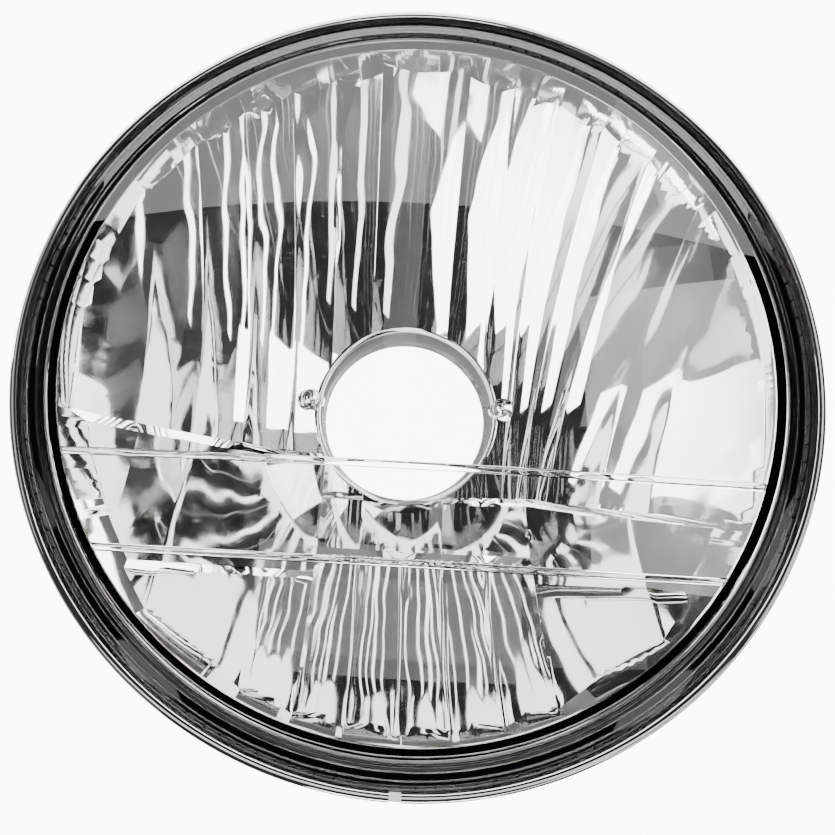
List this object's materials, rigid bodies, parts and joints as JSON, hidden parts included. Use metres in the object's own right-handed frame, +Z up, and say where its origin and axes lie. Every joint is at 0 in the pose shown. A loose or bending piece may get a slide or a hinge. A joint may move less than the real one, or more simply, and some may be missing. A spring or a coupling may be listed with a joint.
{
  "type": "motorcycle headlight insert",
  "caption": "Round clear-lens headlight insert: domed glass, fluted mirrored reflector with a bulb hole, and a bulb seat with a hinged wire clip behind.",
  "frame": {"origin": "on the lamp's axis, in the plane where the rear of the flange seats", "axes": "-Y points forwards out of the lens, +Z is up, +X is to the right seen from the front"},
  "size_m": [0.146, 0.0608, 0.1513],
  "materials": {
    "lens_glass": "polished",
    "seal": "matt",
    "reflector_mirror": "mirror",
    "seat_steel": "satin",
    "screw_steel": "satin",
    "clip_wire": "bright"
  },
  "bodies": {
    "housing": {"lens": "lens_glass", "lens_seal": "seal", "reflector": "reflector_mirror", "bulb_seat": "seat_steel", "seat_screw_left": "screw_steel", "seat_screw_right": "screw_steel"},
    "bulb_clip": {"bulb_clip": "clip_wire"}
  },
  "joints": [
    {"name": "clip_hinge", "type": "hinge", "parent": "housing", "child": "bulb_clip", "pos_m": [0, 0.04585, -0.026], "axis": [1, 0, 0], "range_deg": [-20, 178]}
  ]
}
